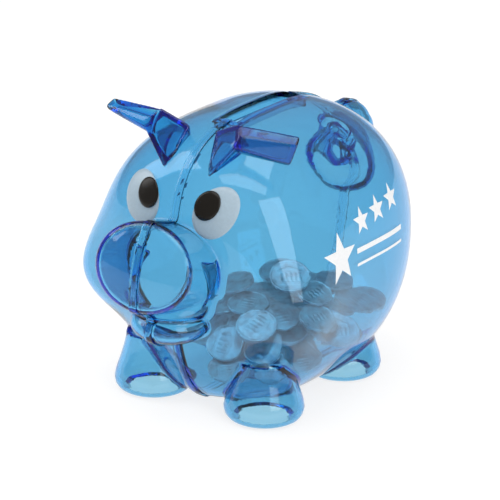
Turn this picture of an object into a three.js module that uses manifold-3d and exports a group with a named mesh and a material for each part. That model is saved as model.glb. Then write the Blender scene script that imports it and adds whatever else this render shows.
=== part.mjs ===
// Translucent plastic piggy bank: two half shells joined on the middle plane,
// separate ears, printed eyes, a push-in belly stopper and loose coins.
// Millimetres. The pig faces -Y, +Z is up, its left flank is +X.
// The origin is on the ground, under the middle of the whole outline.

import * as THREE from 'three';
import { mergeVertices } from 'three/addons/utils/BufferGeometryUtils.js';
import { ConvexGeometry } from 'three/addons/geometries/ConvexGeometry.js';
import Module from 'manifold-3d';

// ---------- driving dimensions ----------

const wall = 2.5; // shell thickness
const gap = 0.3; // clearance between neighbouring pieces
const far = 400; // longer than the whole pig, for blocks that cut all through it

// Places on the pig are measured from the middle of its body.
const body = {
  centre: new THREE.Vector3(0, 13.6, 73.5),
  halfWidth: 67,
  front: 81.5,
  rear: 78,
  top: 70,
  bottom: 76.5,
  sectionPower: 2.24, // how square the cross section is
  frontPower: 3.25, // how flat the face is
  rearPower: 2.35,
  floor: 4, // height of the flat belly above the ground
};

// Soft swellings of the body: a direction from its centre, a share of the radius and a spread.
const swellings = [
  { name: 'cheek', sideways: 45.8, upwards: -7.2, share: 0.12, spread: 14.8 },
  { name: 'chin hollow', sideways: 24, upwards: -30, share: -0.11, spread: 17 },
];

const onBody = (x, y, z) => new THREE.Vector3(x, y, z).add(body.centre);

const snout = {
  rim: onBody(0, -108, 14.4), // middle of the front rim
  tilt: 16.5, // degrees that the front looks upwards
  halfWidth: 27,
  halfHeight: 21.5,
  length: 30,
  dome: 3.3,
  edgeRadius: 3,
};
const muzzle = { centre: onBody(0, -78.6, -4), size: new THREE.Vector3(22.5, 24, 19) };
const lip = { centre: onBody(0, -83, -21), size: new THREE.Vector3(19.5, 18.5, 9.5) };

const foot = {
  sideways: 33,
  front: -49.5,
  rear: 23.4,
  soleRadius: 16,
  widestRadius: 20,
  widestHeight: 6,
  heel: 0.6, // how much less wide it is halfway to there
  topRadius: 14.5,
  height: 26,
};

// The curl of the tail: points on its middle line with the tail's radius at each.
const tail = [
  { at: onBody(0, 64, 38), radius: 11 },
  { at: onBody(1, 76, 40), radius: 12 },
  { at: onBody(10, 75, 27), radius: 8.5 },
  { at: onBody(6, 78, 14), radius: 8.5 },
  { at: onBody(-8, 78, 11), radius: 7.5 },
  { at: onBody(-16, 77, 22), radius: 6.5 },
  { at: onBody(-11, 79, 33), radius: 5.5 },
  { at: onBody(-5.5, 82, 30), radius: 4 },
];

const slot = { width: 10.6, length: 57, middle: -6, cutDepth: 30, collar: 2, collarDepth: 4.5 };
const seam = { width: 4.4, height: 0.8 };
const hatch = { y: body.centre.y, radius: 18, depth: 20 };
const stopper = {
  flangeRadius: 21,
  flange: 1.6,
  edge: 0.7, // chamfer of the flange
  room: 1, // free ring round the flange
  barrelHeight: 7,
  lead: 1, // chamfer at the barrel's inner end
  rim: 2,
  floor: 0.6,
  grip: { length: 14, thickness: 2.4, height: 5.5 },
};

const eye = {
  white: { at: onBody(21, -54, 36.5), halfLength: 12.6, halfWidth: 10.6, lean: 33 },
  pupil: { at: onBody(17, -54, 39.8), halfLength: 7, halfWidth: 6.3, lean: 33 },
  thickness: 0.6,
};

const coin = { sides: 20, smallRadius: 9.52, largeRadius: 10.6, thickness: 1.75 };

// The heap of coins, layer on layer, each coin turned on from the one before.
const heap = {
  middle: onBody(6, 9, 0),
  layers: [
    { coins: 17, reach: 44 },
    { coins: 13, reach: 38 },
    { coins: 9, reach: 29 },
    { coins: 1, reach: 12 },
  ],
  turn: 137.5,
  slope: new THREE.Vector3(0.15, -0.27, 1), // coins on a slope that falls towards the left cheek
  lean: 130, // the smaller, the steeper the coins lean outwards
  unrest: 0.15,
  startHeight: 96,
  step: 0.5,
};

// ---------- materials ----------

const tinted = { color: 0x3f9fe0, roughness: 0.08, metalness: 0, transparent: true, opacity: 0.45 };
const shellPlastic = new THREE.MeshStandardMaterial(tinted);
const earPlastic = new THREE.MeshStandardMaterial({ ...tinted, color: 0x1b4fc4, opacity: 0.8 });
const stopperPlastic = new THREE.MeshStandardMaterial({ ...tinted, roughness: 0.3, opacity: 0.7 });
const whiteInk = new THREE.MeshStandardMaterial({ color: 0xdfe6ea, roughness: 0.4, metalness: 0 });
const blackInk = new THREE.MeshStandardMaterial({ color: 0x14100c, roughness: 0.25, metalness: 0 });
const coinMetal = new THREE.MeshStandardMaterial({ color: 0x9fa6a8, roughness: 0.35, metalness: 1 });

// ---------- solids ----------

const wasm = await Module();
wasm.setup();

function solid(geometry) {
  const plain = geometry.index ? geometry.clone() : geometry;
  plain.deleteAttribute('normal');
  plain.deleteAttribute('uv');
  const merged = mergeVertices(plain, 1e-4);
  const mesh = new wasm.Mesh({
    numProp: 3,
    vertProperties: new Float32Array(merged.attributes.position.array),
    triVerts: new Uint32Array(merged.index.array),
  });
  mesh.merge();
  return new wasm.Manifold(mesh);
}

function geometryOf(manifold) {
  const mesh = manifold.getMesh();
  const geometry = new THREE.BufferGeometry();
  geometry.setAttribute('position', new THREE.BufferAttribute(mesh.vertProperties, mesh.numProp));
  geometry.setIndex(new THREE.BufferAttribute(mesh.triVerts, 1));
  return geometry;
}

function join(first, ...others) {
  return others.reduce((whole, next) => whole.add(next), first);
}

function block(width, length, height, x, y, z) {
  return solid(new THREE.BoxGeometry(width, length, height).translate(x, y, z));
}

// ---------- body skin ----------

const radians = THREE.MathUtils.degToRad;

function swell(direction) {
  let share = 1;
  for (const { sideways, upwards, share: amount, spread } of swellings) {
    const flat = Math.cos(radians(upwards));
    const middle = new THREE.Vector3(
      Math.sin(radians(sideways)) * flat,
      -Math.cos(radians(sideways)) * flat,
      Math.sin(radians(upwards)),
    );
    const mirrored = new THREE.Vector3(Math.abs(direction.x), direction.y, direction.z);
    const angle = mirrored.angleTo(middle) / radians(spread);
    share *= 1 + amount * Math.exp(-angle * angle);
  }
  return share;
}

// Distance from the body's centre to its outer skin along a unit direction.
function bodyRadius(direction) {
  const length = direction.y < 0 ? body.front : body.rear;
  const height = direction.z > 0 ? body.top : body.bottom;
  const power = direction.y < 0 ? body.frontPower : body.rearPower;
  const section = Math.pow(
    Math.pow(Math.abs(direction.x) / body.halfWidth, body.sectionPower) +
      Math.pow(Math.abs(direction.z) / height, body.sectionPower),
    1 / body.sectionPower,
  );
  const reach = Math.pow(section, power) + Math.pow(Math.abs(direction.y) / length, power);
  return Math.pow(reach, -1 / power) * swell(direction);
}

// The body as a solid, its skin moved outwards by grow. The poles lie on the flanks.
function bodySolid(grow, around = 40, across = 20) {
  const geometry = new THREE.SphereGeometry(1, around, across).rotateZ(Math.PI / 2);
  const points = geometry.attributes.position;
  const point = new THREE.Vector3();
  for (let i = 0; i < points.count; i++) {
    point.fromBufferAttribute(points, i).normalize();
    point.multiplyScalar(bodyRadius(point) + grow).add(body.centre);
    point.z = Math.max(point.z, body.floor - grow);
    points.setXYZ(i, point.x, point.y, point.z);
  }
  return solid(geometry);
}

// ---------- head ----------

// Elliptical snout: a lathe along its own axis, squeezed in height and turned to the front.
function snoutSolid(grow) {
  const radius = snout.halfWidth + grow;
  const edge = snout.edgeRadius;
  const front = grow;
  const back = grow - snout.length;
  const profile = [new THREE.Vector2(0, back), new THREE.Vector2(radius, back)];
  for (let step = 0; step <= 3; step++) {
    const turn = (step / 3) * (Math.PI / 2);
    const across = radius - edge + edge * Math.cos(turn);
    profile.push(new THREE.Vector2(across, front - edge + edge * Math.sin(turn)));
  }
  profile.push(new THREE.Vector2(radius * 0.5, front + snout.dome * 0.75));
  profile.push(new THREE.Vector2(0, front + snout.dome));
  const squeeze = (snout.halfHeight + grow) / radius;
  const geometry = new THREE.LatheGeometry(profile, 28)
    .scale(1, 1, squeeze)
    .rotateX(Math.PI + radians(-snout.tilt))
    .translate(snout.rim.x, snout.rim.y, snout.rim.z);
  return solid(geometry);
}

function ellipsoid({ centre, size }, grow) {
  const geometry = new THREE.SphereGeometry(1, 20, 12)
    .scale(size.x + grow, size.y + grow, size.z + grow)
    .translate(centre.x, centre.y, centre.z);
  return solid(geometry);
}

// ---------- tail ----------

// The corners of a small ball, which the hulls of the tail run between.
function ballPoints(centre, radius) {
  const round = new THREE.SphereGeometry(radius, 8, 5).translate(centre.x, centre.y, centre.z);
  const corners = round.attributes.position;
  return Array.from({ length: corners.count }, (_, i) =>
    new THREE.Vector3().fromBufferAttribute(corners, i));
}

function tailSolid(grow) {
  const middleLine = new THREE.CatmullRomCurve3(tail.map(({ at }) => at));
  const steps = 10;
  const balls = [];
  for (let i = 0; i <= steps; i++) {
    const place = (i / steps) * (tail.length - 1);
    const before = tail[Math.floor(place)].radius;
    const after = tail[Math.ceil(place)].radius;
    const radius = THREE.MathUtils.lerp(before, after, place % 1) + grow;
    balls.push(ballPoints(middleLine.getPoint(i / steps), radius));
  }
  const links = balls.slice(1).map((ball, i) => solid(new ConvexGeometry([...balls[i], ...ball])));
  return join(...links);
}

// ---------- feet ----------

const footPlaces = [foot.front, foot.rear].flatMap((along) =>
  [foot.sideways, -foot.sideways].map((across) => onBody(across, along, 0)));

function footSolid(place, inset) {
  const bottom = inset > 0 ? -1 : 0;
  const profile = [
    new THREE.Vector2(0, bottom),
    new THREE.Vector2(foot.soleRadius - inset, bottom),
    new THREE.Vector2(foot.widestRadius - inset - foot.heel, foot.widestHeight * 0.45),
    new THREE.Vector2(foot.widestRadius - inset, foot.widestHeight),
    new THREE.Vector2(foot.topRadius - inset, foot.height),
    new THREE.Vector2(0, foot.height),
  ];
  const turned = new THREE.LatheGeometry(profile, 22).rotateX(Math.PI / 2);
  return solid(turned.translate(place.x, place.y, 0));
}

// ---------- half shells ----------

function shellSolids() {
  const outside = (grow) =>
    join(bodySolid(grow), snoutSolid(grow), ellipsoid(muzzle, grow), ellipsoid(lip, grow), tailSolid(grow));
  const slab = block(seam.width, far, far, 0, 0, 0);
  const ridge = outside(seam.height).intersect(slab);
  const inside = join(bodySolid(-wall), snoutSolid(-wall), ellipsoid(muzzle, -wall), ellipsoid(lip, -wall));
  const feet = join(...footPlaces.map((place) => footSolid(place, 0)));
  const cups = join(...footPlaces.map((place) => footSolid(place, wall)));
  const openCups = cups.subtract(bodySolid(0));

  const slotTop = body.centre.z + body.top;
  const slotMiddle = body.centre.y + slot.middle;
  const collar = block(
    slot.width + 2 * slot.collar,
    slot.length + 2 * slot.collar,
    slot.cutDepth,
    0,
    slotMiddle,
    slotTop,
  ).intersect(bodySolid(0)).subtract(bodySolid(-slot.collarDepth));
  const slotCut = block(slot.width, slot.length, 2 * slot.cutDepth, 0, slotMiddle, slotTop);
  const hatchCut = disc(hatch.radius, hatch.depth, body.floor);
  const flangeRoom = disc(stopper.flangeRadius + stopper.room, body.floor, body.floor / 2);

  return join(outside(0), ridge, feet)
    .subtract(inside)
    .add(collar)
    .subtract(openCups)
    .subtract(slotCut)
    .subtract(hatchCut)
    .subtract(flangeRoom);
}

// An upright disc on the axis of the belly hole.
function disc(radius, height, middle) {
  const geometry = new THREE.CylinderGeometry(radius, radius, height, 40).rotateX(Math.PI / 2);
  return solid(geometry.translate(0, hatch.y, middle));
}

function halfOf(shell, side) {
  return shell.intersect(block(far, far, far, (side * (far + gap)) / 2, 0, 0));
}

// ---------- ears ----------

// Corners of an ear, from the middle of the body: an inner flap that hangs to the brow
// and an outer flap that points sideways. The left ear's outer flap opens towards its end,
// the right ear's is rolled flat.
const ear = {
  innerTop: [7.7, -56.4, 70],
  browTip: [11.6, -70.8, 50],
  kneeRear: [22.5, -59.2, 76.4],
  kneeFront: [26.5, -65.1, 72.2],
  kneeLow: [25.7, -67.1, 67],
  tipRear: [53.8, -55, 75.2],
  tipFront: [55.5, -59.3, 72.3],
  openTipLow: [51, -59.6, 61.6],
  openTipLowRear: [50, -56.1, 61.8],
  rolledTipLow: [54.5, -59, 70.3],
  rolledTipLowRear: [52, -54.6, 70.6],
  armpit: [25.5, -61.6, 63],
  rootInner: [11, -50, 60],
  rootOuter: [22, -47.6, 63],
};

function earHull(side, names) {
  return solid(new ConvexGeometry(names.map((name) => {
    const [x, y, z] = ear[name];
    return onBody(side * x, y, z);
  })));
}

function earSolid(side) {
  const knee = ['kneeRear', 'kneeFront', 'kneeLow', 'armpit'];
  const tipLow = side > 0 ? ['openTipLow', 'openTipLowRear'] : ['rolledTipLow', 'rolledTipLowRear'];
  const inner = earHull(side, [...knee, 'innerTop', 'browTip', 'rootInner', 'rootOuter']);
  const outer = earHull(side, [...knee, 'tipRear', 'tipFront', ...tipLow]);
  return join(inner, outer).subtract(bodySolid(gap));
}

// ---------- eyes ----------

// A thin pad that follows the skin of the face inside a leaning ellipse.
function eyePad(shape, side, lift) {
  const { at, halfWidth, halfLength, lean } = shape;
  const outline = new THREE.Shape();
  outline.absellipse(0, 0, halfWidth, halfLength, 0, Math.PI * 2, false, radians(side * lean));
  const depth = body.front;
  const prism = new THREE.ExtrudeGeometry(outline, { depth, bevelEnabled: false, curveSegments: 14 });
  prism.rotateX(Math.PI / 2).translate(side * at.x, at.y, at.z);
  return bodySolid(lift + eye.thickness)
    .subtract(bodySolid(lift))
    .intersect(solid(prism));
}

// ---------- belly stopper ----------

function stopperSolid() {
  const { flangeRadius, flange, edge, barrelHeight, lead, rim, floor, grip } = stopper;
  const barrel = hatch.radius - gap;
  const base = body.floor - gap;
  const profile = [
    [0, base - flange],
    [flangeRadius - edge, base - flange],
    [flangeRadius, base - flange + edge],
    [flangeRadius, base],
    [barrel, base],
    [barrel, base + barrelHeight - lead],
    [barrel - lead, base + barrelHeight],
    [barrel - rim, base + barrelHeight],
    [barrel - rim, base + floor],
    [0, base + floor],
  ].map(([radius, height]) => new THREE.Vector2(radius, height));
  const plug = solid(new THREE.LatheGeometry(profile, 32).rotateX(Math.PI / 2).translate(0, hatch.y, 0));
  const gripMiddle = base + grip.height / 2;
  return plug.add(block(grip.length, grip.thickness, grip.height, 0, hatch.y, gripMiddle));
}

// ---------- coins ----------

function coinGeometry(radius, thickness) {
  return new THREE.CylinderGeometry(radius, radius, thickness, coin.sides).rotateX(Math.PI / 2);
}

// Coins fall one by one, each leaning away from the middle of the heap, and stop where
// they touch the shell or a coin that lies already.
function coinPlaces(obstacle) {
  const places = [];
  const up = new THREE.Vector3(0, 0, 1);
  let fallen = obstacle;
  for (const { coins, reach } of heap.layers) {
    for (let i = 0; i < coins; i++) {
      const number = places.length;
      const radius = number % 3 === 0 ? coin.largeRadius : coin.smallRadius;
      const distance = reach * Math.sqrt((i + 0.5) / coins);
      const across = distance * Math.cos(radians(heap.turn * number));
      const along = distance * Math.sin(radians(heap.turn * number));
      const x = heap.middle.x + across;
      const y = heap.middle.y + along;
      const normal = new THREE.Vector3(
        across / heap.lean + heap.unrest * Math.sin(number * 2.3),
        along / heap.lean + heap.unrest * Math.cos(number * 1.7),
        0,
      ).add(heap.slope).normalize();
      const tilt = new THREE.Quaternion().setFromUnitVectors(up, normal);
      const swollen = coinGeometry(radius + gap, coin.thickness + 2 * gap).applyQuaternion(tilt);
      const probe = solid(swollen.translate(x, y, 0));
      let z = heap.startHeight;
      while (probe.translate([0, 0, z - heap.step]).intersect(fallen).isEmpty()) {
        z -= heap.step;
      }
      const lying = coinGeometry(radius, coin.thickness).applyQuaternion(tilt).translate(x, y, z);
      fallen = fallen.add(solid(lying));
      places.push({ radius, tilt, position: new THREE.Vector3(x, y, z) });
    }
  }
  return places;
}

// ---------- assembly ----------

const group = new THREE.Group();

function addPiece(name, geometry, material) {
  const mesh = new THREE.Mesh(geometry, material);
  mesh.name = name;
  group.add(mesh);
  return mesh;
}

const shell = shellSolids();
const plug = stopperSolid();

for (const [side, word] of [[1, 'left'], [-1, 'right']]) {
  addPiece(`${word}_shell`, geometryOf(halfOf(shell, side)), shellPlastic);
  addPiece(`${word}_ear`, geometryOf(earSolid(side)), earPlastic);
  addPiece(`${word}_eye_white`, geometryOf(eyePad(eye.white, side, gap)), whiteInk);
  addPiece(`${word}_pupil`, geometryOf(eyePad(eye.pupil, side, 2 * gap + eye.thickness)), blackInk);
}
addPiece('belly_stopper', geometryOf(plug), stopperPlastic);

coinPlaces(shell.add(plug)).forEach(({ radius, tilt, position }, index) => {
  const number = String(index + 1).padStart(2, '0');
  const mesh = addPiece(`coin_${number}`, coinGeometry(radius, coin.thickness), coinMetal);
  mesh.quaternion.copy(tilt);
  mesh.position.copy(position);
});

export default group;
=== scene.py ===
"""Looks of the translucent piggy bank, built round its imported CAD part.

Shapes are computed in millimetres from the same driving dimensions as the CAD source, in the
same frame: the pig faces -Y, +Z is up, its left flank is +X. Meshes are scaled to metres.
"""

import math

import bpy
import numpy as np
from mathutils import Matrix, Vector


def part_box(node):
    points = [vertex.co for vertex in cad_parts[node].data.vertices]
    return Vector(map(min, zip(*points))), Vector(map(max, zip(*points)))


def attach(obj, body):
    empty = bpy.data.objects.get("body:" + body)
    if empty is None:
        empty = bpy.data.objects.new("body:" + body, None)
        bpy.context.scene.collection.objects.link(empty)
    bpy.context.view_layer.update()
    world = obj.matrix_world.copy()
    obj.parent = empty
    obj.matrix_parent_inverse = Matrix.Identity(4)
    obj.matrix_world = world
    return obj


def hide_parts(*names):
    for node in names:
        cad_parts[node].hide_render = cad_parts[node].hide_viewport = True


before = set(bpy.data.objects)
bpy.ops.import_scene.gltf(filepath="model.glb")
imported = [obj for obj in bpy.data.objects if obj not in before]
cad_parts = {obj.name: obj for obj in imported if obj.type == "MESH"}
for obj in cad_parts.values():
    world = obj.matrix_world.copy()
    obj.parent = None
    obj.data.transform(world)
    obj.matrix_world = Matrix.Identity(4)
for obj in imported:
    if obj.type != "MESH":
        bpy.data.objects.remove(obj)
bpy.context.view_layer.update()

MM = 0.001
SIDES = ((1, "left"), (-1, "right"))

# ---------- driving dimensions, in millimetres ----------

WALL = 2.5
GAP = 0.3
CENTRE = np.array([0.0, 13.6, 73.5])
HALF_WIDTH = 67.0
FRONT, REAR = 81.5, 78.0
TOP, BOTTOM = 70.0, 76.5
SECTION_POWER, FRONT_POWER, REAR_POWER = 2.24, 3.25, 2.35
FLOOR = 4.0
SWELLINGS = (  # sideways and upwards in degrees, share of the radius, spread in degrees
    (45.8, -7.2, 0.12, 14.8),
    (24.0, -30.0, -0.11, 17.0),
)


def on_body(x, y, z):
    return CENTRE + np.array([x, y, z])


SNOUT_RIM = on_body(0, -108, 14.4)
SNOUT_TILT = math.radians(16.5)
SNOUT_HALF_WIDTH, SNOUT_HALF_HEIGHT = 27.0, 21.5
SNOUT_LENGTH, SNOUT_DOME, SNOUT_EDGE = 30.0, 3.3, 4.0
MUZZLE = (on_body(0, -78.6, -4), np.array([22.5, 24.0, 19.0]))
LIP = (on_body(0, -83, -21), np.array([19.5, 18.5, 9.5]))
FOOT_SIDEWAYS, FOOT_FRONT, FOOT_REAR = 33.0, -49.5, 23.4
FOOT_PROFILE = (  # height and radius
    (-4.0, 15.2), (0.0, 16.2), (1.2, 18.2), (3.2, 19.5), (6.0, 20.0), (10.0, 19.2),
    (16.0, 17.2), (22.0, 15.4), (26.0, 14.5), (32.0, 13.8),
)
FOOT_RIM, FOOT_RIM_HEIGHT = 1.8, 3  # how much thicker a foot's wall gets towards its sole
FOOT_ROOT, FOOT_HIGHEST = 1.0, 30  # how far a foot reaches into the wall, and its cut above
TAIL = (  # point from the body's centre, and radius
    ((0, 64, 38), 11.0), ((1, 76, 40), 12.0), ((10, 75, 27), 8.5), ((6, 78, 14), 8.5),
    ((-8, 78, 11), 7.5), ((-16, 77, 22), 6.5), ((-11, 79, 33), 5.5), ((-5.5, 82, 30), 4.0),
)
SLOT_WIDTH, SLOT_LENGTH = 10.6, 57.0
SLOT_MIDDLE = CENTRE[1] - 6.0
SLOT_LOWEST, SLOT_HIGHEST = 110, 170  # the cut reaches through the roof, not through the floor
COLLAR, COLLAR_DEPTH = 2.0, 6.5
COLLAR_LOWEST, COLLAR_HIGHEST = 120, 160
SEAM_WIDTH, SEAM_HEIGHT = 4.4, 0.8
HATCH_Y, HATCH_RADIUS, HATCH_HIGHEST = CENTRE[1], 18.0, 14
FLANGE_RADIUS, FLANGE_ROOM, FLANGE = 21.0, 1, 1.6
BARREL_HEIGHT, BARREL_WALL, BARREL_FLOOR = 7.0, 2.0, 0.6
GRIP_HALF_LENGTH, GRIP_HALF_THICKNESS, GRIP_HEIGHT = 7, 1.2, 5.5
SMOOTH_JOIN = 3.0
CELL = 1.1
CLOSE_PAIR = 0.12  # how far the two grid lines at a crisp place lie to its sides

# ---------- distance fields ----------


def soft_min(a, b, width):
    """The union of two fields with a fillet of about that width."""
    share = np.clip(0.5 + 0.5 * (b - a) / width, 0, 1)
    return b + (a - b) * share - width * share * (1 - share)


def soft_max(a, b, width):
    return -soft_min(-a, -b, width)


def body_reach(direction):
    """Distance from the body's centre to its outer skin along unit directions."""
    x, y, z = direction.T
    length = np.where(y < 0, FRONT, REAR)
    height = np.where(z > 0, TOP, BOTTOM)
    power = np.where(y < 0, FRONT_POWER, REAR_POWER)
    section = (np.abs(x) / HALF_WIDTH) ** SECTION_POWER + (np.abs(z) / height) ** SECTION_POWER
    reach = section ** (power / SECTION_POWER) + (np.abs(y) / length) ** power
    share = np.ones_like(x)
    for sideways, upwards, amount, spread in SWELLINGS:
        turn, lift = math.radians(sideways), math.radians(upwards)
        level = math.cos(lift)
        middle = np.array([math.sin(turn) * level, -math.cos(turn) * level, math.sin(lift)])
        near = np.clip(np.abs(x) * middle[0] + y * middle[1] + z * middle[2], -1, 1)
        angle = np.degrees(np.arccos(near)) / spread
        share *= 1 + amount * np.exp(-angle * angle)
    return reach ** (-1 / power) * share


def body_field(p):
    from_centre = p - CENTRE
    distance = np.maximum(np.linalg.norm(from_centre, axis=1), 1e-6)
    skin = distance - body_reach(from_centre / distance[:, None])
    return soft_max(skin, FLOOR - p[:, 2], 1.5)


def snout_field(p):
    """A squeezed cylinder along its own axis, with a rounded rim and a domed front."""
    from_rim = p - SNOUT_RIM
    along = -from_rim[:, 1] * math.cos(SNOUT_TILT) + from_rim[:, 2] * math.sin(SNOUT_TILT)
    upward = from_rim[:, 1] * math.sin(SNOUT_TILT) + from_rim[:, 2] * math.cos(SNOUT_TILT)
    squeeze = SNOUT_HALF_HEIGHT / SNOUT_HALF_WIDTH
    across = np.hypot(p[:, 0], upward / squeeze)
    dome = SNOUT_DOME * np.clip(1 - (across / (SNOUT_HALF_WIDTH - SNOUT_EDGE)) ** 2, 0, 1)
    aside = (across - SNOUT_HALF_WIDTH + SNOUT_EDGE) * (0.5 + 0.5 * squeeze)
    ahead = along - dome + SNOUT_EDGE
    outside = np.hypot(np.maximum(aside, 0), np.maximum(ahead, 0))
    rounded = outside + np.minimum(np.maximum(aside, ahead), 0)
    return np.maximum(rounded - SNOUT_EDGE, -along - SNOUT_LENGTH)


def ellipsoid_field(p, shape):
    centre, size = shape
    scaled = np.linalg.norm((p - centre) / size, axis=1)
    slope = np.maximum(np.linalg.norm((p - centre) / size**2, axis=1), 1e-6)
    return scaled * (scaled - 1) / slope


def catmull_rom(points, steps):
    """Points along a smooth curve through the given rows, steps to each stretch."""
    rows = np.array(points, float)
    padded = np.vstack([2 * rows[0] - rows[1], rows, 2 * rows[-1] - rows[-2]])
    out = []
    for i in range(len(rows) - 1):
        a, b, c, d = padded[i : i + 4]
        for t in np.arange(steps) / steps:
            square = (2 * a - 5 * b + 4 * c - d) * t**2
            cube = (3 * b - a - 3 * c + d) * t**3
            out.append((2 * b + (c - a) * t + square + cube) / 2)
    out.append(rows[-1])
    return np.array(out)


TAIL_LINE = catmull_rom([[*(CENTRE + np.array(at)), radius] for at, radius in TAIL], 4)


FAR = 30.0  # stands for a distance that is too large to matter, in millimetres
TAIL_BEGINS = CENTRE[1] + 45


def tail_field(p):
    """A chain of tapered links along the tail's middle line, only worked out near it."""
    field = np.full(len(p), FAR)
    near = p[:, 1] > TAIL_BEGINS
    q = p[near]
    found = np.full(len(q), FAR)
    for start, end in zip(TAIL_LINE[:-1], TAIL_LINE[1:], strict=True):
        link = end[:3] - start[:3]
        share = np.clip((q - start[:3]) @ link / (link @ link), 0, 1)
        middle = start[:3] + share[:, None] * link
        radius = start[3] + share * (end[3] - start[3])
        found = np.minimum(found, np.linalg.norm(q - middle, axis=1) - radius)
    field[near] = found
    return field


def foot_field(p, inset):
    """The nearest of the turned foot shapes, made smaller all round by the inset."""
    heights, radii = np.array(FOOT_PROFILE).T
    aside, ahead = np.abs(p[:, 0]) - FOOT_SIDEWAYS, p[:, 1] - CENTRE[1]
    across = np.minimum(np.hypot(aside, ahead - FOOT_FRONT), np.hypot(aside, ahead - FOOT_REAR))
    return across - np.interp(p[:, 2], heights, radii) + inset


def box_field(p, low, high):
    return np.maximum(np.array(low) - p, p - np.array(high)).max(axis=1)


def outer_skin(p):
    """The pig's outer skin with snout, muzzle and lip, and the same with the tail."""
    head = soft_min(body_field(p), snout_field(p), SMOOTH_JOIN)
    head = soft_min(head, ellipsoid_field(p, MUZZLE), SMOOTH_JOIN)
    head = soft_min(head, ellipsoid_field(p, LIP), 2.0)
    return head, soft_min(head, tail_field(p), 2.5)


def uncut_shell(p):
    """Skin, seam ridge, foot cups and slot collar, without slot and belly hole."""
    head, skin = outer_skin(p)
    ridge = np.maximum(skin - SEAM_HEIGHT, np.abs(p[:, 0]) - SEAM_WIDTH / 2)
    shell = np.maximum(np.minimum(skin, ridge), -(skin + WALL))

    rim = FOOT_RIM * np.clip((FOOT_RIM_HEIGHT - p[:, 2]) / FOOT_RIM_HEIGHT, 0, 1)
    cup = foot_field(p, WALL + rim)
    foot = np.maximum(np.maximum(foot_field(p, 0), -cup), -(head + FOOT_ROOT))
    foot = np.maximum(np.maximum(foot, -p[:, 2]), p[:, 2] - FOOT_HIGHEST)
    shell = soft_min(shell, foot, 1.6)

    reach = SLOT_WIDTH / 2 + COLLAR, SLOT_LENGTH / 2 + COLLAR
    low = (-reach[0], SLOT_MIDDLE - reach[1], COLLAR_LOWEST)
    high = (reach[0], SLOT_MIDDLE + reach[1], COLLAR_HIGHEST)
    collar = box_field(p, low, high)
    collar = np.maximum(np.maximum(collar, skin), -(skin + COLLAR_DEPTH))
    return soft_min(shell, collar, 0.8)


def shell_field(p):
    """The shell with its slot, its belly hole and the room for the stopper's flange."""
    half_width, half_length = SLOT_WIDTH / 2, SLOT_LENGTH / 2
    low = (-half_width, SLOT_MIDDLE - half_length, SLOT_LOWEST)
    high = (half_width, SLOT_MIDDLE + half_length, SLOT_HIGHEST)
    shell = np.maximum(uncut_shell(p), -box_field(p, low, high))
    from_hatch = np.hypot(p[:, 0], p[:, 1] - HATCH_Y)
    shell = np.maximum(shell, -np.maximum(from_hatch - HATCH_RADIUS, p[:, 2] - HATCH_HIGHEST))
    room = np.maximum(from_hatch - FLANGE_RADIUS - FLANGE_ROOM, p[:, 2] - FLOOR)
    return np.maximum(shell, -room)


# ---------- meshes from fields ----------


def lines(low, high, step, crisp=()):
    """Grid lines from low to high, with a close pair round each crisp place."""
    regular = np.arange(low, high + step, step)
    for place in crisp:
        regular = regular[np.abs(regular - place) > 0.55 * step]
    pairs = [place + offset for place in crisp for offset in (-CLOSE_PAIR, CLOSE_PAIR)]
    return np.unique(np.concatenate([regular, pairs]))


def field_on_grid(field, xs, ys, zs):
    values = np.empty((len(xs), len(ys), len(zs)))
    y, z = (v.ravel() for v in np.meshgrid(ys, zs, indexing="ij"))
    for i, x in enumerate(xs):
        values[i] = field(np.column_stack([np.full(len(y), x), y, z])).reshape(len(ys), len(zs))
    return values


def net(field, xs, ys, zs):
    """Vertices and quads of the surface where the field is zero, one vertex to a crossed cell."""
    values = field_on_grid(field, xs, ys, zs)
    inside = values < 0
    axes = (xs, ys, zs)
    shape = tuple(n - 1 for n in values.shape)
    total = np.zeros((*shape, 3))
    count = np.zeros(shape)
    crossings = []
    for axis in range(3):
        low = [slice(None)] * 3
        high = [slice(None)] * 3
        low[axis], high[axis] = slice(0, -1), slice(1, None)
        low, high = tuple(low), tuple(high)
        crossed = np.argwhere(inside[low] != inside[high])
        upper = crossed.copy()
        upper[:, axis] += 1
        a, b = values[tuple(crossed.T)], values[tuple(upper.T)]
        share = a / (a - b)
        place = np.column_stack([axes[k][crossed[:, k]] for k in range(3)])
        step = axes[axis][upper[:, axis]] - axes[axis][crossed[:, axis]]
        place[:, axis] += share * step
        one, two = [k for k in range(3) if k != axis]
        for da in (0, 1):
            for db in (0, 1):
                cell = crossed.copy()
                cell[:, one] -= da
                cell[:, two] -= db
                fits = np.all((cell >= 0) & (cell < np.array(shape)), axis=1)
                np.add.at(total, tuple(cell[fits].T), place[fits])
                np.add.at(count, tuple(cell[fits].T), 1)
        crossings.append((axis, crossed, a < 0))
    used = count > 0
    number = np.full(shape, -1)
    number[used] = np.arange(used.sum())
    vertices = total[used] / count[used][:, None]
    quads = []
    for axis, crossed, leaving in crossings:
        one, two = [(axis + 1) % 3, (axis + 2) % 3]
        corners = []
        for da, db in ((0, 0), (1, 0), (1, 1), (0, 1)):
            cell = crossed.copy()
            cell[:, one] -= da
            cell[:, two] -= db
            corners.append(number[tuple(np.clip(cell, 0, np.array(shape) - 1).T)])
        quad = np.column_stack(corners)
        quad[~leaving] = quad[~leaving][:, ::-1]
        quads.append(quad)
    return vertices, np.vstack(quads)


SLOPE_STEP, LEAST_SLOPE = 0.05, 0.2
ROUNDS = 3


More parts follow.
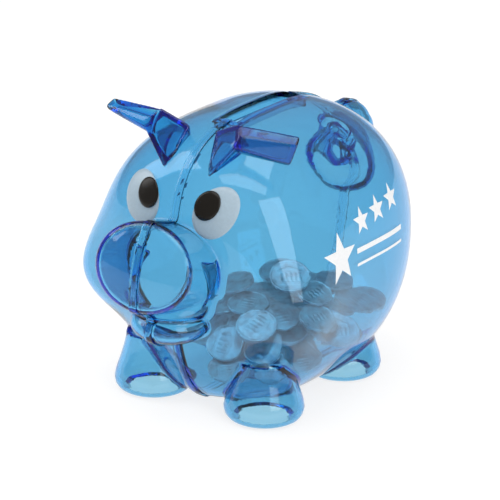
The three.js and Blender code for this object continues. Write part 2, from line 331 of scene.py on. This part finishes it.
def slope_at(field, points, value, axes):
    """The field's slope along some axes by small steps, and its square, kept from zero."""
    slope = np.zeros_like(points)
    for axis in axes:
        aside = points.copy()
        aside[:, axis] += SLOPE_STEP
        slope[:, axis] = (field(aside) - value) / SLOPE_STEP
    return slope, np.maximum((slope**2).sum(axis=1), LEAST_SLOPE)


def settle(field, vertices, most):
    """Moves vertices onto the zero surface along the field's slope, each by at most that far."""
    start = vertices.copy()
    for _ in range(ROUNDS):
        value = field(vertices)
        slope, steep = slope_at(field, vertices, value, (0, 1, 2))
        vertices = vertices - (value / steep)[:, None] * slope
    moved = vertices - start
    far = np.linalg.norm(moved, axis=1)
    return start + moved * np.minimum(1, most / np.maximum(far, 1e-9))[:, None]


def snap(vertices, quads, axis, place, rest, reach):
    """Brings a cut's vertices onto its plane, and those of its edge onto the surface it cuts."""
    on = np.abs(vertices[:, axis] - place) < CLOSE_PAIR + 0.02
    vertices[on, axis] = place
    held = on[quads]
    mixed = held.any(axis=1) & ~held.all(axis=1)
    on = np.isin(np.arange(len(vertices)), quads[mixed][held[mixed]])
    edge = vertices[on]
    in_plane = [k for k in range(3) if k != axis]
    for _ in range(ROUNDS):
        value = rest(edge)
        slope, steep = slope_at(rest, edge, value, in_plane)
        edge -= np.where(np.abs(value) < reach, value / steep, 0)[:, None] * slope
    vertices[on] = edge


def smooth_mesh(name, vertices, faces, material, sharp):
    """A mesh in metres from millimetres, smooth but for edges sharper than that angle."""
    mesh = bpy.data.meshes.new(name)
    mesh.from_pydata((np.asarray(vertices) * MM).tolist(), [], faces)
    mesh.validate()
    mesh.polygons.foreach_set("use_smooth", [True] * len(mesh.polygons))
    mesh.set_sharp_from_angle(angle=math.radians(sharp))
    mesh.materials.append(material)
    mesh.update()
    return mesh


def linked(name, data):
    obj = bpy.data.objects.new(name, data)
    bpy.context.scene.collection.objects.link(obj)
    return obj


def piece(name, vertices, faces, material, body, stands_for, sharp=40):
    """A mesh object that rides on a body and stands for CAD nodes."""
    faces = faces if isinstance(faces, list) else faces.tolist()
    obj = linked(name, smooth_mesh(name, vertices, faces, material, sharp))
    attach(obj, body)
    if stands_for:
        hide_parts(*stands_for)


# ---------- materials ----------


def new_material(name):
    """A node material, with its nodes, links and main shader."""
    material = bpy.data.materials.new(name)
    material.use_nodes = True
    nodes = material.node_tree.nodes
    return material, nodes, material.node_tree.links, nodes["Principled BSDF"]


def noise(nodes, scale, detail=3.0, roughness=0.5):
    """Object-space noise, scale in cycles per metre."""
    place = nodes.new("ShaderNodeTexCoord")
    texture = nodes.new("ShaderNodeTexNoise")
    texture.inputs["Scale"].default_value = scale
    texture.inputs["Detail"].default_value = detail
    texture.inputs["Roughness"].default_value = roughness
    nodes.id_data.links.new(place.outputs["Object"], texture.inputs["Vector"])
    return texture.outputs["Fac"]


NOISE_RANGE = (0.3, 0.7)  # nearly all of a noise texture lies between these


def ranged(nodes, value, low, high):
    """A noise value brought to the range from low to high."""
    mapped = nodes.new("ShaderNodeMapRange")
    mapped.inputs["From Min"].default_value = NOISE_RANGE[0]
    mapped.inputs["From Max"].default_value = NOISE_RANGE[1]
    mapped.inputs["To Min"].default_value = low
    mapped.inputs["To Max"].default_value = high
    nodes.id_data.links.new(value, mapped.inputs["Value"])
    return mapped.outputs["Result"]


def bump(nodes, shader, height, strength, distance):
    node = nodes.new("ShaderNodeBump")
    node.inputs["Strength"].default_value = strength
    node.inputs["Distance"].default_value = distance
    nodes.id_data.links.new(height, node.inputs["Height"])
    nodes.id_data.links.new(node.outputs["Normal"], shader.inputs["Normal"])


def tinted(name, surface, depth_colour, density, roughness, waviness):
    """Clear plastic that takes its colour from its surface and from the way through it.

    Density is per metre, and each colour's share of it is what depth_colour leaves out.
    """
    material, nodes, links, shader = new_material(name)
    shader.inputs["Base Color"].default_value = (*surface, 1)
    shader.inputs["Transmission Weight"].default_value = 1.0
    shader.inputs["IOR"].default_value = 1.5
    smudges = ranged(nodes, noise(nodes, 45, 4), roughness[0], roughness[1])
    links.new(smudges, shader.inputs["Roughness"])
    bump(nodes, shader, noise(nodes, 60, 2), waviness, 0.0006)
    absorb = nodes.new("ShaderNodeVolumeAbsorption")
    absorb.inputs["Color"].default_value = (*depth_colour, 1)
    absorb.inputs["Density"].default_value = density
    output = nodes["Material Output"]
    links.new(absorb.outputs["Volume"], output.inputs["Volume"])
    return material


PER_WALL = (0.67, 0.82, 0.85)  # what each wall takes from the light, whatever its thickness
shell_plastic = tinted("shell_plastic", PER_WALL, (0.0, 0.68, 0.955), 300, (0.0, 0.05), 0.10)
ear_plastic = tinted("ear_plastic", PER_WALL, (0.0, 0.72, 0.935), 850, (0.01, 0.06), 0.12)
stopper_plastic = tinted("stopper_plastic", (0.8, 0.86, 0.9), (0.1, 0.6, 0.9), 250, (0.25, 0.4), 0.2)


SPECKLE = 0.93  # how dark an ink's speckle is, against the ink


def ink(name, colour, roughness, coat):
    """Printed ink with a fine speckle and grain."""
    material, nodes, links, shader = new_material(name)
    speckle = nodes.new("ShaderNodeMixRGB")
    speckle.inputs["Color1"].default_value = (*colour, 1)
    speckle.inputs["Color2"].default_value = (*[c * SPECKLE for c in colour], 1)
    links.new(ranged(nodes, noise(nodes, 900, 2), 0, 1), speckle.inputs["Fac"])
    links.new(speckle.outputs["Color"], shader.inputs["Base Color"])
    links.new(ranged(nodes, noise(nodes, 300, 3), *roughness), shader.inputs["Roughness"])
    shader.inputs["Coat Weight"].default_value = coat
    bump(nodes, shader, noise(nodes, 2500, 2), 0.08, 0.0002)
    return material, shader


white_ink, white_shader = ink("white_ink", (0.52, 0.66, 0.76), (0.3, 0.45), 0.2)
white_shader.inputs["Transmission Weight"].default_value = 0.25
black_ink, black_shader = ink("black_ink", (0.010, 0.008, 0.006), (0.18, 0.28), 0.0)
black_shader.inputs["Specular IOR Level"].default_value = 0.25
print_ink, _ = ink("print_ink", (0.93, 0.94, 0.95), (0.3, 0.42), 0.1)


def coin_alloy():
    """Worn coin metal with darker tarnish in random patches."""
    material, nodes, links, shader = new_material("coin_alloy")
    shader.inputs["Metallic"].default_value = 0.7
    ramp = nodes.new("ShaderNodeValToRGB")
    ramp.color_ramp.elements[0].color = (0.42, 0.28, 0.28, 1)
    ramp.color_ramp.elements[0].position = 0.25
    ramp.color_ramp.elements[1].color = (1.0, 0.90, 0.92, 1)
    ramp.color_ramp.elements[1].position = 0.62
    warm = ramp.color_ramp.elements.new(0.42)
    warm.color = (0.92, 0.68, 0.69, 1)
    links.new(noise(nodes, 160, 4, 0.6), ramp.inputs["Fac"])
    links.new(ramp.outputs["Color"], shader.inputs["Base Color"])
    links.new(ranged(nodes, noise(nodes, 500, 4), 0.28, 0.5), shader.inputs["Roughness"])
    bump(nodes, shader, noise(nodes, 3000, 3), 0.15, 0.0001)
    return material


coin_metal = coin_alloy()

# ---------- half shells ----------

SLOT_ENDS = (SLOT_MIDDLE - SLOT_LENGTH / 2, SLOT_MIDDLE + SLOT_LENGTH / 2)
BAND_EDGE = SEAM_WIDTH / 2
HAIR = 0.02  # half the width of the joint between seam band and skin, and between the bands
LENGTH_REACH, HEIGHT_REACH, SIDE_REACH = (-103.5, 104.0), (-1.1, 146.0), 72.0  # of the grid


def shell_part(name, side, nearest, farthest, xs, cell, stands_for):
    """The part of a half shell between two distances from the middle plane.

    It is made on the side where x is positive, from the side's own half, and then put in place.
    """

    def mirrored(p):
        return shell_field(p * np.array([side, 1, 1]))

    def field(p):
        return np.maximum(mirrored(p), np.maximum(nearest - p[:, 0], p[:, 0] - farthest))

    def without_slot(p):
        return uncut_shell(p * np.array([side, 1, 1]))

    ys = lines(*LENGTH_REACH, cell, crisp=SLOT_ENDS)
    zs = lines(*HEIGHT_REACH, cell, crisp=(0.0,))
    vertices, quads = net(field, xs, ys, zs)
    vertices = settle(field, vertices, 0.3 * cell)
    for place, cut in ((nearest, mirrored), (farthest, mirrored), (SLOT_WIDTH / 2, without_slot)):
        snap(vertices, quads, 0, place, cut, 1.2 * cell)
    vertices[:, 0] = np.clip(vertices[:, 0], nearest, farthest)
    vertices[:, 2] = np.maximum(vertices[:, 2], 0)
    vertices[:, 0] *= side
    if side < 0:
        quads = quads[:, ::-1]
    piece(name, vertices, quads, shell_plastic, "bank", stands_for)


for side, word in SIDES:
    edge = BAND_EDGE + HAIR + np.array([-CLOSE_PAIR, CLOSE_PAIR])
    walls = (SLOT_WIDTH / 2, SLOT_WIDTH / 2 + COLLAR)
    across = np.concatenate([edge, lines(BAND_EDGE + 0.6, SIDE_REACH, CELL, crisp=walls)])
    shell_part(f"{word}_shell_skin", side, edge.mean(), 100.0, across, CELL, [f"{word}_shell"])
    begins, ends = HAIR, BAND_EDGE - HAIR
    across = [begins - CLOSE_PAIR, begins + CLOSE_PAIR, 0.8, 1.5, ends - CLOSE_PAIR, ends + CLOSE_PAIR]
    shell_part(f"{word}_seam_band", side, begins, ends, np.array(across), CELL / 2, ())

# ---------- ears ----------

EAR = {
    "innerTop": (7.7, -56.4, 70),
    "browTip": (11.6, -70.8, 50),
    "kneeRear": (22.5, -59.2, 76.4),
    "kneeFront": (26.5, -65.1, 72.2),
    "kneeLow": (25.7, -67.1, 67),
    "tipRear": (53.8, -55, 75.2),
    "tipFront": (55.5, -59.3, 72.3),
    "openTipLow": (51, -59.6, 61.6),
    "openTipLowRear": (50, -56.1, 61.8),
    "rolledTipLow": (54.5, -59, 70.3),
    "rolledTipLowRear": (52, -54.6, 70.6),
    "armpit": (25.5, -61.6, 63),
    "rootInner": (11, -50, 60),
    "rootOuter": (22, -47.6, 63),
}


EAR_EDGE = 0.25  # how far an ear's surface stands outside its hull
EAR_WALL = 2.0
TINY = 1e-6


def hull_planes(points):
    """Outward normals and distances of the planes round a small cloud of points."""
    planes = []
    count = len(points)
    for i in range(count):
        for j in range(i + 1, count):
            for k in range(j + 1, count):
                normal = np.cross(points[j] - points[i], points[k] - points[i])
                size = np.linalg.norm(normal)
                if size < TINY:
                    continue
                normal = normal / size
                height = (points - points[i]) @ normal
                if height.max() < TINY:
                    planes.append((*normal, points[i] @ normal))
                elif height.min() > -TINY:
                    planes.append((*-normal, points[i] @ -normal))
    return np.unique(np.round(planes, 6), axis=0)


HULL_SHARPNESS = 3.0


def rounded_hull(p, planes):
    """A field round a hull with its edges and corners eased."""
    heights = p @ planes[:, :3].T - planes[:, 3]
    most = heights.max(axis=1)
    eased = np.exp(HULL_SHARPNESS * (heights - most[:, None])).sum(axis=1)
    return most + np.log(eased) / HULL_SHARPNESS


def ear(side, word):
    """A hollow ear of two flaps, bent at the knee: its outer flap is open or rolled at the tip."""

    def corners(*names):
        return np.array([on_body(*EAR[n]) for n in names])

    knee = ("kneeRear", "kneeFront", "kneeLow", "armpit")
    low = ("openTipLow", "openTipLowRear") if side > 0 else ("rolledTipLow", "rolledTipLowRear")
    inner = hull_planes(corners(*knee, "innerTop", "browTip", "rootInner", "rootOuter"))
    outer = hull_planes(corners(*knee, "tipRear", "tipFront", *low))

    def field(p):
        flaps = rounded_hull(p, inner) - EAR_EDGE, rounded_hull(p, outer) - EAR_EDGE
        hollow = np.minimum(flaps[0], flaps[1]) + EAR_WALL
        wall = np.maximum(soft_min(*flaps, 0.6), -hollow)
        return np.maximum(wall, -(body_field(p) - GAP))

    lowest, highest = (np.array(corner) * 1000 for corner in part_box(f"{word}_ear"))
    step = 0.55
    reach = [sorted((side * lowest[0], side * highest[0]))]
    reach += [(lowest[1], highest[1]), (lowest[2], highest[2])]
    vertices, quads = net(field, *(np.arange(low - 1, high + 1, step) for low, high in reach))
    vertices = settle(field, vertices, 0.3)
    vertices[:, 0] *= side
    if side < 0:
        quads = quads[:, ::-1]
    piece(
        f"{word}_ear_flap", vertices, quads, ear_plastic, "bank", [f"{word}_ear"], sharp=60
    )


for side, word in SIDES:
    ear(side, word)

# ---------- belly stopper ----------


STOPPER_BASE = FLOOR - GAP  # where the flange ends and the barrel begins
BARREL_RADIUS = HATCH_RADIUS - GAP
GROOVE_RADIUS, GROOVE_HALF_WIDTH, GROOVE_DEPTH = 15.5, 0.8, 0.5


def stopper_field(p):
    """A flange under the belly and a short barrel in the hole, with a grip across its floor."""
    from_axis = np.hypot(p[:, 0], p[:, 1] - HATCH_Y)
    height = p[:, 2] - STOPPER_BASE
    flange = soft_max(from_axis - FLANGE_RADIUS, np.abs(height + FLANGE / 2) - FLANGE / 2, 0.5)
    outer = soft_max(from_axis - BARREL_RADIUS, height - BARREL_HEIGHT, 0.6)
    inner = np.maximum(from_axis - BARREL_RADIUS + BARREL_WALL, BARREL_FLOOR - height)
    barrel = np.maximum(np.maximum(outer, -inner), -0.5 - height)
    low = (-GRIP_HALF_LENGTH, HATCH_Y - GRIP_HALF_THICKNESS, STOPPER_BASE)
    high = (GRIP_HALF_LENGTH, HATCH_Y + GRIP_HALF_THICKNESS, STOPPER_BASE + GRIP_HEIGHT)
    round_axis = np.abs(from_axis - GROOVE_RADIUS) - GROOVE_HALF_WIDTH
    groove = np.maximum(round_axis, height + FLANGE - GROOVE_DEPTH)
    return np.maximum(soft_min(np.minimum(flange, barrel), box_field(p, low, high), 0.6), -groove)


def stopper():
    cell = 0.5
    xs = np.arange(-22.2, 22.6, cell)
    levels = (STOPPER_BASE - FLANGE, STOPPER_BASE, STOPPER_BASE + BARREL_FLOOR)
    zs = lines(levels[0] - 1, STOPPER_BASE + BARREL_HEIGHT + 1, cell, crisp=levels)
    vertices, quads = net(stopper_field, xs, xs + HATCH_Y, zs)
    vertices = settle(stopper_field, vertices, 0.2)
    piece(
        "belly_plug", vertices, quads, stopper_plastic, "stopper", ["belly_stopper"]
    )


stopper()

# ---------- eyes and print ----------


RAY_STEPS, RAY_CAUTION = 40, 0.8  # each step goes this share of the distance still left


def skin_point(start, direction, lift):
    """Where rays meet the body's skin moved out by lift: rows of start points, one direction."""
    reach = np.zeros(len(start))
    for _ in range(RAY_STEPS):
        reach += (body_field(start + reach[:, None] * direction) - lift) * RAY_CAUTION
    return start + reach[:, None] * direction


def pad_on_skin(outline_rings, direction, low, dome):
    """A closed pad from rings of start points: its back lies low over the skin.

    Its front is domed, and comes down to the back at the last ring.
    """
    rings, around = outline_rings.shape[:2]
    start = outline_rings.reshape(-1, 3)
    share = np.repeat(np.linspace(0, 1, rings), around)
    height = dome * np.sqrt(np.clip(1 - share**6, 0, 1))
    back = skin_point(start, direction, low)
    outward = skin_point(start, direction, low + 1.0) - back
    front = back + outward * height[:, None]
    faces = []
    for side, offset in ((1, 0), (0, rings * around)):
        for ring in range(rings - 1):
            for i in range(around):
                a, b = ring * around + i, ring * around + (i + 1) % around
                quad = [offset + a, offset + b, offset + b + around, offset + a + around]
                faces.append(quad if side else quad[::-1])
    last = (rings - 1) * around
    for i in range(around):
        a, b = last + i, last + (i + 1) % around
        faces.append([a, b, b + rings * around, a + rings * around])
    return np.vstack([front, back]), faces


START_OFF = 110  # rays to the face begin this far in front of the body's centre
EYE_LEAN = math.radians(33)
INNERMOST = 0.02  # the first ring of a pad, as a share of its last


def eye_part(name, node, at, half_sizes, side, low, dome, material, slot):
    """A leaning oval pad on the face, at (outwards, upwards) from the body's centre."""
    rings, around = 14, 72
    radii = np.linspace(INNERMOST, 1, rings)[:, None]
    turn = np.linspace(0, 2 * math.pi, around, endpoint=False)[None, :]
    u, v = half_sizes[1] * radii * np.cos(turn), half_sizes[0] * radii * np.sin(turn)
    x = at[0] + u * math.cos(EYE_LEAN) + v * math.sin(EYE_LEAN)
    z = at[1] - u * math.sin(EYE_LEAN) + v * math.cos(EYE_LEAN)
    before = np.full_like(x, CENTRE[1] - START_OFF)
    start = np.stack([side * x + CENTRE[0], before, z + CENTRE[2]], axis=2)
    vertices, faces = pad_on_skin(start, np.array([0.0, 1.0, 0.0]), low, dome)
    if side > 0:
        faces = [f[::-1] for f in faces]
    piece(name, vertices, faces, material, "bank", [node], sharp=50)


EYE_WHITE = ((21, 36.5), (12.6, 10.6))  # place, and half sizes along and across
PUPIL = ((17, 39.8), (7, 6.3))
PUPIL_LOW = 1.2  # clear of the eye white under it
for side, word in SIDES:
    white = (*EYE_WHITE, side, GAP, 0.6, white_ink, "white_ink")
    eye_part(f"{word}_eye_disc", f"{word}_eye_white", *white)
    black = (*PUPIL, side, PUPIL_LOW, 0.7, black_ink, "black_ink")
    eye_part(f"{word}_pupil_disc", f"{word}_pupil", *black)

PRINT_START = 120.0  # rays to the flank begin this far from the middle plane
PRINT_LOW, PRINT_DOME = 0.25, 0.12


def flank_pad(name, middle, corners):
    """White print on the left flank: a shape of (along, upwards) corners round its middle, in mm."""
    rings, steps = 9, 10
    outline = np.array(corners, float)
    closed = np.vstack([outline, outline[:1]])
    share = np.arange(steps)[:, None] / steps
    around = np.concatenate([a + (b - a) * share for a, b in zip(closed, closed[1:])])
    scale = np.linspace(INNERMOST, 1, rings)[:, None, None]
    shape = on_body(0, *middle)[1:] + scale * around[None]
    start = np.concatenate([np.full((rings, len(around), 1), PRINT_START), shape], axis=2)
    vertices, faces = pad_on_skin(start, np.array([-1.0, 0.0, 0.0]), PRINT_LOW, PRINT_DOME)
    piece(name, vertices, faces, print_ink, "bank", (), sharp=50)


STAR_POINTS, STAR_WAIST = 5, 0.42


def star(radius):
    corner = np.arange(2 * STAR_POINTS)
    turn = math.pi / 2 + corner * math.pi / STAR_POINTS
    reach = np.where(corner % 2 == 0, radius, STAR_WAIST * radius)
    return np.column_stack([reach * np.cos(turn), reach * np.sin(turn)])


def bar(length, height):
    along, up = length / 2, height / 2
    return [(-along, -up), (along, -up), (along, up), (-along, up)]


flank_pad("print_star_large", (-35, 11), star(13))
for index, along in enumerate((-14, 1, 16)):
    flank_pad(f"print_star_{index + 1}", (along, 26 + 0.12 * along), star(7))
flank_pad("print_bar_upper", (1, 11), bar(44, 2.6))
flank_pad("print_bar_lower", (1, 4), bar(44, 1.5))

# ---------- coins ----------

COIN_THICKNESS, STRUCK_DEPTH, EDGE_FALL = 1.75, 0.22, 0.12
COLUMNS = 5
TEMPLE_BARS = ((-0.40, 0.60), (-0.50, 0.68), (0.28, 0.60))  # height and half length


def smooth_step(low, high, value):
    t = np.clip((value - low) / (high - low), 0, 1)
    return t * t * (3 - 2 * t)


def block_relief(u, v, middle, half, soft=0.03):
    """1 inside a block round its middle, with soft sides."""
    across = smooth_step(half[0] + soft, half[0] - soft, np.abs(u - middle[0]))
    return across * smooth_step(half[1] + soft, half[1] - soft, np.abs(v - middle[1]))


def coin_relief(u, v):
    """Height from 0 to 1: rim, ring of beads, and a plain temple front with five columns."""
    r = np.hypot(u, v)
    turn = np.arctan2(v, u)
    relief = smooth_step(0.90, 0.93, r)
    ring_of_beads = smooth_step(0.035, 0.015, np.abs(r - 0.83))
    beads = ring_of_beads * smooth_step(-0.2, 0.4, np.cos(turn * 36))
    relief = np.maximum(relief, 0.5 * beads)
    for column in range(COLUMNS):
        middle = ((column - COLUMNS // 2) * 0.23, -0.05)
        relief = np.maximum(relief, 0.7 * block_relief(u, v, middle, (0.05, 0.27)))
    for height, half in TEMPLE_BARS:
        relief = np.maximum(relief, 0.6 * block_relief(u, v, (0, height), (half, 0.035)))
    gable = smooth_step(0.62, 0.55, np.abs(u) + (v - 0.34) * 2.2) * smooth_step(0.32, 0.38, v)
    return np.maximum(relief, 0.55 * gable)


def coin_mesh(name, radius):
    """A coin lying flat at the origin: two struck faces, eased at the edge, and a plain rim."""
    rings, around = ((26, 96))
    field = COIN_THICKNESS / 2 - STRUCK_DEPTH
    radii = np.linspace(0.0, 1.0, rings + 1)[1:] ** 0.85
    turn = np.linspace(0, 2 * math.pi, around, endpoint=False)
    vertices, faces = [], []
    for up in (1, -1):
        offset = len(vertices)
        vertices.append((0, 0, up * field))
        for ring in radii:
            u, v = ring * np.cos(turn), ring * np.sin(turn)
            height = field + STRUCK_DEPTH * coin_relief(up * u, v)
            height = height - (EDGE_FALL if ring == radii[-1] else 0)
            vertices.extend(zip(radius * u, radius * v, up * height, strict=True))
        for i in range(around):
            a, b = offset + 1 + i, offset + 1 + (i + 1) % around
            faces.append((offset, a, b) if up > 0 else (offset, b, a))
            for inner in range(0, (rings - 1) * around, around):
                quad = (a + inner, a + inner + around, b + inner + around, b + inner)
                faces.append(quad if up > 0 else quad[::-1])
    last = 1 + (rings - 1) * around
    other = 1 + rings * around
    for i in range(around):
        j = (i + 1) % around
        faces.append((last + i, other + last + i, other + last + j, last + j))
    return smooth_mesh(name, vertices, faces, coin_metal, 35)


def lying(node):
    """Middle, normal and radius of a CAD coin, from its own vertices."""
    points = np.array([v.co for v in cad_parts[node].data.vertices], float)
    middle = points.mean(axis=0)
    around = points - middle
    normal = np.linalg.svd(around, full_matrices=False)[2][2]
    if normal[2] < 0:
        normal = -normal
    flat = around - np.outer(around @ normal, normal)
    return Vector(middle), Vector(normal), float(np.linalg.norm(flat, axis=1).max())


COIN_ROOM = 0.02  # how much smaller a coin is than its CAD coin
coin_meshes = {}
for number, node in enumerate(sorted(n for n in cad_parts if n.startswith("coin_"))):
    middle, normal, radius = lying(node)
    size = round(radius * 1000, 1)
    if size not in coin_meshes:
        coin_meshes[size] = coin_mesh(f"coin_{len(coin_meshes) + 1}_struck", size - COIN_ROOM)
    spin = Matrix.Rotation(math.radians(137.5 * number + 40 * math.sin(number)), 4, "Z")
    tilt = normal.to_track_quat("Z", "Y").to_matrix().to_4x4()
    coin = linked(f"struck_{node}", coin_meshes[size])
    coin.matrix_world = Matrix.Translation(middle) @ tilt @ spin
    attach(coin, "bank")
    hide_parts(node)

# ---------- stage, light and camera ----------


FLOOR_REACH, FLOOR_DEPTH = 12.0, 0.0004  # in metres


def stage_floor():
    corners = [(-1, -1), (1, -1), (1, 1), (-1, 1)]
    mesh = bpy.data.meshes.new("floor")
    mesh.from_pydata([(x * FLOOR_REACH, y * FLOOR_REACH, 0) for x, y in corners], [], [(0, 1, 2, 3)])
    obj = linked("floor", mesh)
    obj.location.z = -FLOOR_DEPTH
    material, _, _, shader = new_material("floor_pale")
    shader.inputs["Base Color"].default_value = (0.3, 0.3, 0.3, 1)
    shader.inputs["Roughness"].default_value = 0.8
    shader.inputs["Emission Color"].default_value = (1, 1, 1, 1)
    shader.inputs["Emission Strength"].default_value = 0.8
    mesh.materials.append(material)


LIGHT_AIM = Vector((0, 0, 0.07))


def softbox(name, place, size, power):
    """A rectangular light that faces the middle of the bank."""
    light = bpy.data.lights.new(name, "AREA")
    light.shape = "RECTANGLE"
    light.size, light.size_y = size
    light.energy = power
    obj = linked(name, light)
    obj.location = place
    obj.rotation_mode = "QUATERNION"
    obj.rotation_quaternion = (LIGHT_AIM - Vector(place)).to_track_quat("-Z", "Y")


stage_floor()
world = bpy.data.worlds.new("studio")
bpy.context.scene.world = world
world.use_nodes = True
backdrop = world.node_tree.nodes["Background"]
backdrop.inputs["Color"].default_value = (1, 1, 1, 1)
backdrop.inputs["Strength"].default_value = 0.4
softbox("strip", (1.1, -0.5, 0.7), (0.7, 1.1), 6)
softbox("side", (-1.0, -0.4, 0.9), (0.6, 1.0), 5)
softbox("top", (0.1, -0.2, 1.5), (1.2, 1.2), 9)

camera_data = bpy.data.cameras.new("camera")
camera = linked("camera", camera_data)
RIGHT = Vector((0.83410, 0.55142, 0.01475)).normalized()
AHEAD = Vector((-0.51518, 0.78829, -0.33643)).normalized()
UP = RIGHT.cross(AHEAD).normalized()
AIM = Vector((0, 0.00297, 0.0735))
DISTANCE = 1.310
basis = Matrix((RIGHT, UP, -AHEAD)).transposed().to_4x4()
camera.matrix_world = Matrix.Translation(AIM - AHEAD * DISTANCE) @ basis
camera_data.sensor_width = 36
camera_data.lens = 188.64
camera_data.shift_x = -0.0072
camera_data.shift_y = -0.0204
camera_data.clip_start, camera_data.clip_end = 0.05, 60
bpy.context.scene.camera = camera

scene = bpy.context.scene
scene.view_settings.view_transform = "Standard"
scene.cycles.max_bounces = 28
scene.cycles.transmission_bounces = 28
scene.cycles.transparent_max_bounces = 16
scene.cycles.glossy_bounces = 8
